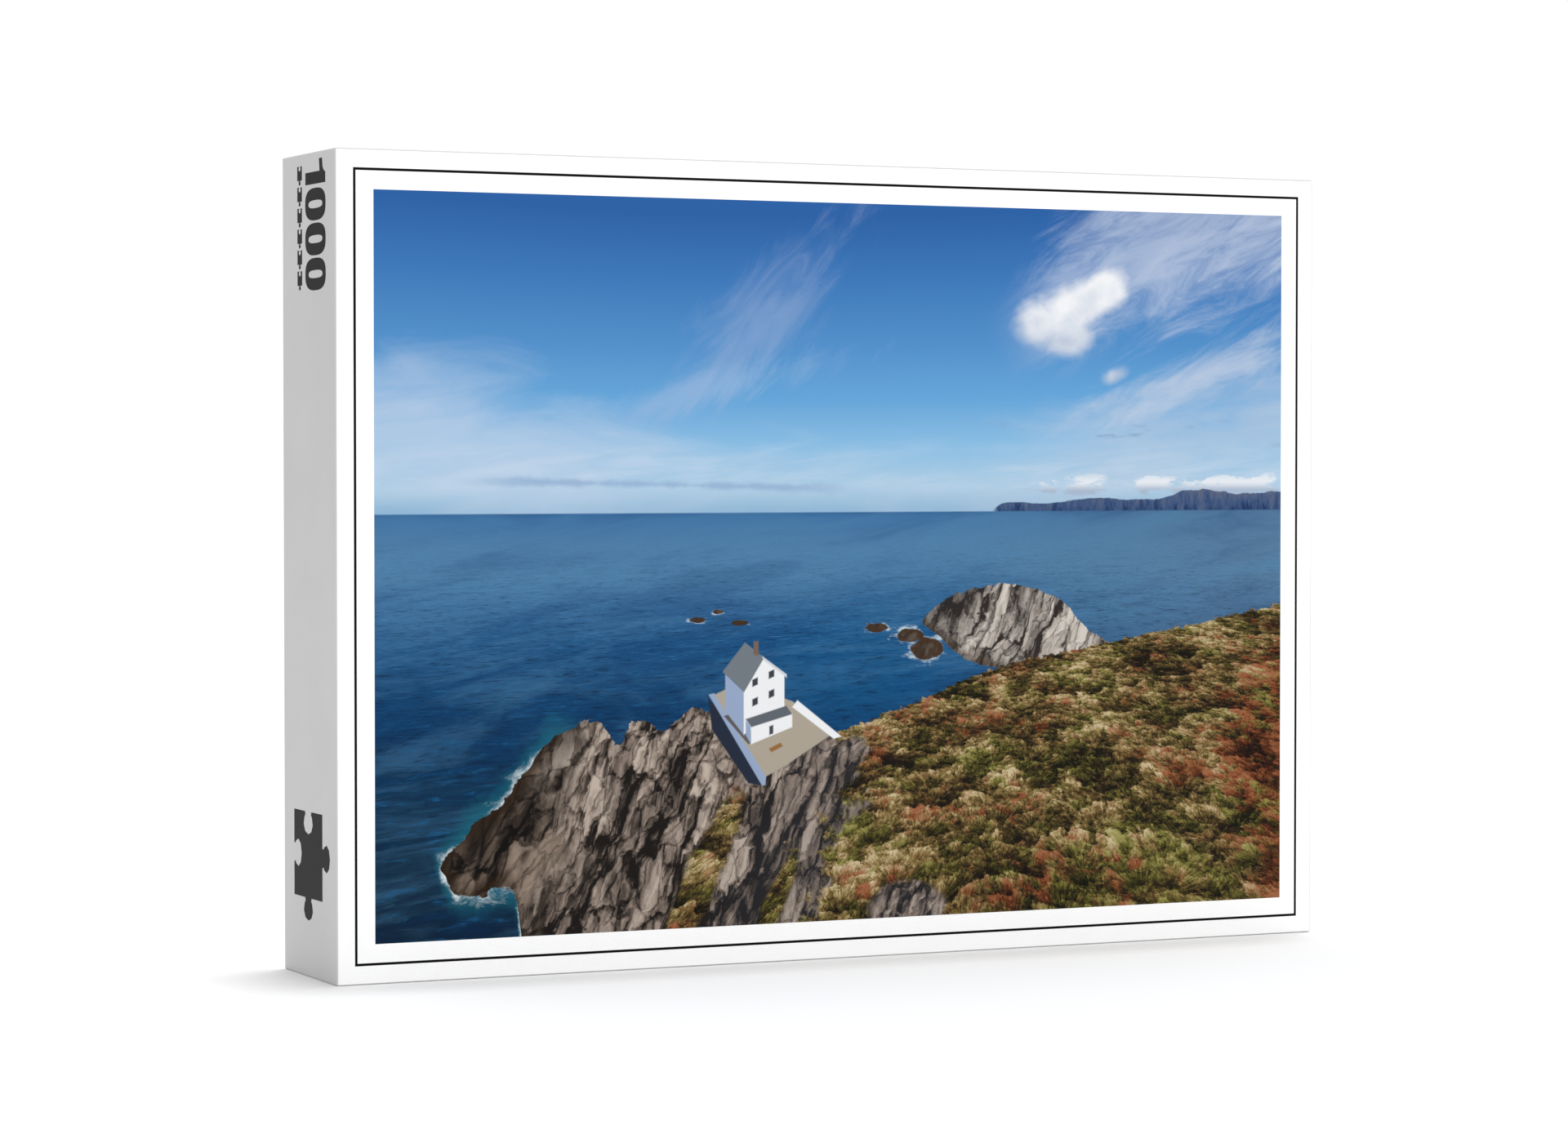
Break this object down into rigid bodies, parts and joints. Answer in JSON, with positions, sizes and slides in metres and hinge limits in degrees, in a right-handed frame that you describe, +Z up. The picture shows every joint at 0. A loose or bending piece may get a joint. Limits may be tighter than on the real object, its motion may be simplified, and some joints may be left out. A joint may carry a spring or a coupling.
{
  "type": "boxed jigsaw puzzle",
  "caption": "Flat rigid two-part box standing on a long side: a full-depth lid with a framed picture on its face slides off a tray that holds a sealed bag of interlocking puzzle pieces.",
  "frame": {"origin": "middle of the rectangle that the closed box stands on, on the supporting surface", "axes": "+X along the box's width, to the right as seen from the front; -Y out of the printed front of the lid; +Z up"},
  "size_m": [0.37, 0.053, 0.271],
  "materials": {
    "printed_front": "smooth coated paper, matt laminated; white with a black line frame and a printed picture on the front, light grey on the sides",
    "tray_paper": "plain white uncoated paper, slightly fibrous",
    "greyboard": "raw recycled greyboard with flecks and fibres",
    "stay_paper": "brown kraft paper tape",
    "bag_film": "clear thin polypropylene film with crimped seals",
    "loose_pieces": "a mix of printed faces and grey-blue backs",
    "puzzle_piece": "die-cut board with a printed, fine linen-embossed face, cut edges and a plain grey back"
  },
  "bodies": {
    "tray": {"tray_back_panel": "greyboard", "tray_top_wall": "greyboard", "tray_bottom_wall": "greyboard", "tray_left_wall": "greyboard", "tray_right_wall": "greyboard", "tray_corner_stays": "stay_paper", "tray_wrap": "tray_paper"},
    "lid": {"lid_front_panel": "greyboard", "lid_top_wall": "greyboard", "lid_bottom_wall": "greyboard", "lid_left_wall": "greyboard", "lid_right_wall": "greyboard", "lid_corner_stays": "stay_paper", "lid_wrap": "printed_front"},
    "bag": {"piece_bag": "bag_film", "piece_heap": "loose_pieces", "corner_pieces": "puzzle_piece", "edge_pieces": "puzzle_piece", "middle_pieces": "puzzle_piece"}
  },
  "joints": [
    {"name": "lid_slide", "type": "slide", "parent": "tray", "child": "lid", "axis": [0, -1, 0], "range_m": [0, 0.2]},
    {"name": "bag_slide", "type": "slide", "parent": "tray", "child": "bag", "axis": [0, 0, 1], "range_m": [0, 0.125]}
  ]
}
